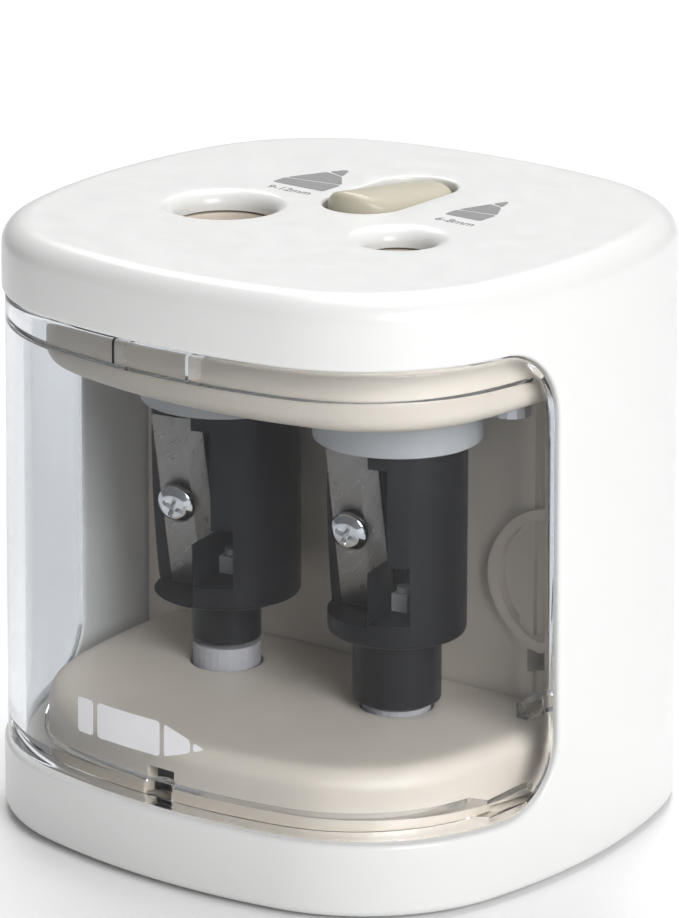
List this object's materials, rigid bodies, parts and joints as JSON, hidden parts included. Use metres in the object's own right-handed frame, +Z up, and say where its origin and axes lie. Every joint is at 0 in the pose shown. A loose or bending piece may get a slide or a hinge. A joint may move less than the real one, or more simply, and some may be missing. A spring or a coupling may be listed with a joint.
{
  "type": "battery pencil sharpener",
  "caption": "Battery desk pencil sharpener: round-cornered white casing, clear pull-out shavings bin, cutter heads for thick and thin pencils under holes in the top, rocker switch.",
  "frame": {"origin": "middle of the footprint, on the surface that the feet stand on", "axes": "+Z up, -Y to the clear bin at the front, +X to the thin-pencil side"},
  "size_m": [0.077, 0.0752, 0.0772],
  "materials": {
    "white_shell": "glossy moulded warm white",
    "inner_plastic": "satin off-white",
    "cream_plastic": "satin cream",
    "grey_plastic": "satin light grey",
    "smoke_clear": "clear smoke-tinted moulding",
    "black_plastic": "semi-gloss black",
    "blade_steel": "hardened blade steel",
    "steel": "plain steel",
    "chrome": "bright plated",
    "brass": "plain brass",
    "acetal": "waxy white",
    "rubber": "matt",
    "cell_wrap": "plain coloured metallised sleeve"
  },
  "bodies": {
    "casing": {"housing": "white_shell", "base_plate": "white_shell", "foot_1": "rubber", "foot_2": "rubber", "foot_3": "rubber", "foot_4": "rubber", "base_screw_1": "steel", "base_screw_2": "steel", "base_screw_3": "steel", "base_screw_4": "steel", "inner_frame": "inner_plastic", "gear_cover": "inner_plastic", "guide_bracket": "inner_plastic", "bracket_screw_1": "steel", "bracket_screw_2": "steel", "left_collar": "grey_plastic", "right_collar": "grey_plastic", "left_start_contact": "brass", "right_start_contact": "brass", "centre_axle": "steel", "reduction_axle": "steel", "motor_can": "steel", "motor_end_cap": "acetal", "battery_bay": "inner_plastic", "cell_1": "cell_wrap", "cell_2": "cell_wrap", "cell_spring_1": "steel", "cell_spring_2": "steel", "cell_contact_1": "brass", "cell_contact_2": "brass", "rocker_pin": "steel", "switch_body": "black_plastic", "interlock_switch": "black_plastic"},
    "bin": {"shavings_bin": "smoke_clear"},
    "door": {"battery_door": "white_shell", "door_contact": "brass"},
    "rocker": {"rocker_switch": "cream_plastic"},
    "plunger": {"interlock_plunger": "black_plastic"},
    "left_press": {"left_thrust_ring": "acetal"},
    "left_head": {"left_cutter_body": "black_plastic", "left_blade": "blade_steel", "left_blade_screw": "chrome", "left_tip_stop": "grey_plastic"},
    "left_drive": {"left_spindle": "acetal", "left_head_spring": "steel"},
    "right_press": {"right_thrust_ring": "acetal"},
    "right_head": {"right_cutter_body": "black_plastic", "right_blade": "blade_steel", "right_blade_screw": "chrome", "right_tip_stop": "grey_plastic"},
    "right_drive": {"right_spindle": "acetal", "right_head_spring": "steel"},
    "centre_wheel": {"centre_gear": "acetal"},
    "reduction_wheel": {"reduction_gear": "acetal"},
    "motor_rotor": {"motor_shaft": "steel", "motor_pinion": "brass"}
  },
  "joints": [
    {"name": "bin_slide", "type": "slide", "parent": "casing", "child": "bin", "axis": [0, -1, 0], "range_m": [0, 0.042]},
    {"name": "door_slide", "type": "slide", "parent": "casing", "child": "door", "axis": [-1, 0, 0], "range_m": [0, 0.03]},
    {"name": "rocker_tilt", "type": "hinge", "parent": "casing", "child": "rocker", "pos_m": [0, 0.01, 0.0722], "axis": [1, 0, 0], "range_deg": [0, 14]},
    {"name": "interlock_press", "type": "slide", "parent": "casing", "child": "plunger", "axis": [0, 1, 0], "range_m": [0, 0.0015], "stiffness_N_per_m": 60},
    {"name": "left_head_press", "type": "slide", "parent": "casing", "child": "left_press", "axis": [0, 0, -1], "range_m": [0, 0.0005], "stiffness_N_per_m": 2400, "deforming": ["left_head_spring"]},
    {"name": "left_head_spin", "type": "hinge", "parent": "left_press", "child": "left_head", "pos_m": [-0.01314, -0.00593, 0.04], "axis": [0, 0, 1], "continuous": true},
    {"name": "left_spindle_spin", "type": "hinge", "parent": "casing", "child": "left_drive", "pos_m": [-0.01314, -0.00593, 0.012], "axis": [0, 0, 1], "continuous": true},
    {"name": "right_head_press", "type": "slide", "parent": "casing", "child": "right_press", "axis": [0, 0, -1], "range_m": [0, 0.0005], "stiffness_N_per_m": 2400, "deforming": ["right_head_spring"]},
    {"name": "right_head_spin", "type": "hinge", "parent": "right_press", "child": "right_head", "pos_m": [0.01314, -0.00593, 0.04], "axis": [0, 0, 1], "continuous": true},
    {"name": "right_spindle_spin", "type": "hinge", "parent": "casing", "child": "right_drive", "pos_m": [0.01314, -0.00593, 0.012], "axis": [0, 0, 1], "continuous": true},
    {"name": "centre_gear_spin", "type": "hinge", "parent": "casing", "child": "centre_wheel", "pos_m": [0, -0.00283, 0.009], "axis": [0, 0, 1], "continuous": true},
    {"name": "reduction_gear_spin", "type": "hinge", "parent": "casing", "child": "reduction_wheel", "pos_m": [0.00936, 0.00619, 0.007], "axis": [0, 0, 1], "continuous": true},
    {"name": "motor_spin", "type": "hinge", "parent": "casing", "child": "motor_rotor", "pos_m": [0.0155, 0.0165, 0.015], "axis": [0, 0, 1], "continuous": true}
  ],
  "couplings": [
    {"joint": "left_head_spin", "follows": "right_head_spin", "ratio": 1},
    {"joint": "left_spindle_spin", "follows": "right_head_spin", "ratio": 1},
    {"joint": "right_spindle_spin", "follows": "right_head_spin", "ratio": 1},
    {"joint": "centre_gear_spin", "follows": "right_head_spin", "ratio": -0.92857},
    {"joint": "reduction_gear_spin", "follows": "right_head_spin", "ratio": 3.9},
    {"joint": "motor_spin", "follows": "right_head_spin", "ratio": -19.5}
  ]
}
